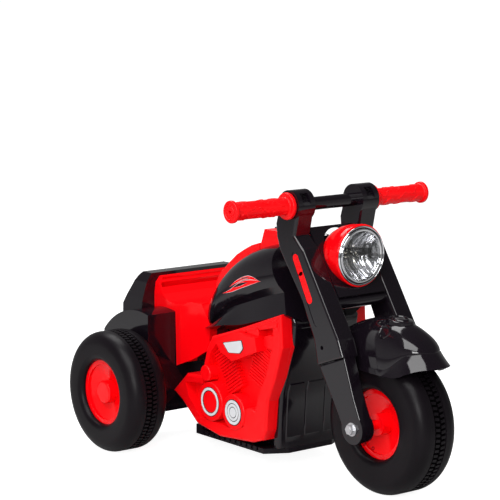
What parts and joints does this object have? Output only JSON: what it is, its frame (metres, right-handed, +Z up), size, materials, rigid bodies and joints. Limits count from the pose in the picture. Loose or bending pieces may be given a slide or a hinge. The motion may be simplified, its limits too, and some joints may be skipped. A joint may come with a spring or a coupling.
{
  "type": "ride-on motorcycle",
  "caption": "Child's battery ride-on motorcycle on three plastic wheels: raked fork with round headlamp and mudguard, red engine covers, black tank, saddle and tail.",
  "frame": {"origin": "on the floor, under the middle of the overall length and width", "axes": "+X ahead, +Y to the rider's left, +Z up"},
  "size_m": [0.731, 0.46, 0.488],
  "materials": {
    "black_plastic": "glossy black",
    "red_plastic": "glossy red",
    "tyre_plastic": "satin black",
    "black_tube": "black paint",
    "chrome_plastic": "bright chrome plating",
    "clear_lens": "clear",
    "lamp_glass": "clear",
    "steel": "zinc plated",
    "silver_trim": "silver paint",
    "pale_plastic": "natural",
    "button_plastic": "satin dark grey",
    "battery_plastic": "matt"
  },
  "bodies": {
    "chassis": {"body_right": "black_plastic", "body_left": "black_plastic", "body_screws": "steel", "head_bushes": "pale_plastic", "seat": "red_plastic", "tank_strip": "red_plastic", "dash_panel": "red_plastic", "switch_board": "black_plastic", "tail_cover": "black_plastic", "engine_cover_right": "red_plastic", "engine_cover_left": "red_plastic", "engine_trims": "silver_trim", "under_tray": "black_plastic", "rear_axle": "steel", "rear_axle_nuts": "steel", "rear_axle_spacer": "pale_plastic", "motor": "steel", "gearbox_case": "pale_plastic", "battery": "battery_plastic", "speaker": "black_plastic", "charge_socket": "black_plastic"},
    "fork": {"fork_leg_right": "black_plastic", "fork_leg_left": "black_plastic", "fork_lower_right": "black_plastic", "fork_lower_left": "black_plastic", "handlebar": "black_tube", "grip_right": "red_plastic", "grip_left": "red_plastic", "lamp_plate": "black_plastic", "crossbar": "black_plastic", "fork_bridges": "black_plastic", "steering_stem": "steel", "stem_nut": "steel", "lamp_ring": "chrome_plastic", "lamp_gasket": "black_plastic", "lamp_shell": "red_plastic", "lamp_reflector": "chrome_plastic", "lamp_lens": "clear_lens", "lamp_bulb": "lamp_glass", "front_mudguard": "black_plastic", "front_axle": "steel", "front_axle_nuts": "steel", "front_axle_spacers": "pale_plastic"},
    "front_wheel": {"front_tyre": "tyre_plastic", "front_rim": "red_plastic", "front_wheel_bushes": "pale_plastic"},
    "rear_wheel_right": {"rear_tyre_right": "tyre_plastic", "rear_rim_right": "red_plastic", "hub_cap_right": "red_plastic", "output_gear": "pale_plastic"},
    "rear_wheel_left": {"rear_tyre_left": "tyre_plastic", "rear_rim_left": "red_plastic", "hub_cap_left": "red_plastic"},
    "idler": {"idler_gear": "pale_plastic"},
    "pinion": {"motor_pinion": "pale_plastic"},
    "horn_button": {"horn_button": "button_plastic"},
    "music_button": {"music_button": "button_plastic"},
    "drive_button": {"drive_button": "red_plastic"},
    "drive_rocker": {"drive_rocker": "button_plastic"}
  },
  "joints": [
    {"name": "steering", "type": "hinge", "parent": "chassis", "child": "fork", "pos_m": [0.1386, 0, 0.306], "axis": [-0.5446, 0, 0.8387], "range_deg": [-28, 28]},
    {"name": "front_wheel_spin", "type": "hinge", "parent": "fork", "child": "front_wheel", "pos_m": [0.2485, 0, 0.117], "axis": [0, 1, 0], "continuous": true},
    {"name": "rear_right_spin", "type": "hinge", "parent": "chassis", "child": "rear_wheel_right", "pos_m": [-0.2585, 0, 0.107], "axis": [0, 1, 0], "continuous": true},
    {"name": "rear_left_spin", "type": "hinge", "parent": "chassis", "child": "rear_wheel_left", "pos_m": [-0.2585, 0, 0.107], "axis": [0, 1, 0], "continuous": true},
    {"name": "idler_spin", "type": "hinge", "parent": "chassis", "child": "idler", "pos_m": [-0.25632, 0, 0.13817], "axis": [0, 1, 0], "continuous": true},
    {"name": "pinion_spin", "type": "hinge", "parent": "chassis", "child": "pinion", "pos_m": [-0.25458, 0, 0.16311], "axis": [0, 1, 0], "continuous": true},
    {"name": "horn_button_press", "type": "slide", "parent": "chassis", "child": "horn_button", "axis": [0, 0, -1], "range_m": [0, 0.002], "stiffness_N_per_m": 300, "springref_m": -0.002},
    {"name": "music_button_press", "type": "slide", "parent": "chassis", "child": "music_button", "axis": [0, 0, -1], "range_m": [0, 0.002], "stiffness_N_per_m": 300, "springref_m": -0.002},
    {"name": "drive_button_press", "type": "slide", "parent": "chassis", "child": "drive_button", "axis": [0, 0, -1], "range_m": [0, 0.002], "stiffness_N_per_m": 500, "springref_m": -0.002},
    {"name": "drive_rocker_tilt", "type": "hinge", "parent": "chassis", "child": "drive_rocker", "pos_m": [-0.036, 0, 0.40175], "axis": [0, 1, 0], "range_deg": [-12, 12]}
  ],
  "couplings": [
    {"joint": "idler_spin", "follows": "rear_right_spin", "ratio": -3.1667},
    {"joint": "pinion_spin", "follows": "rear_right_spin", "ratio": 12.667}
  ]
}
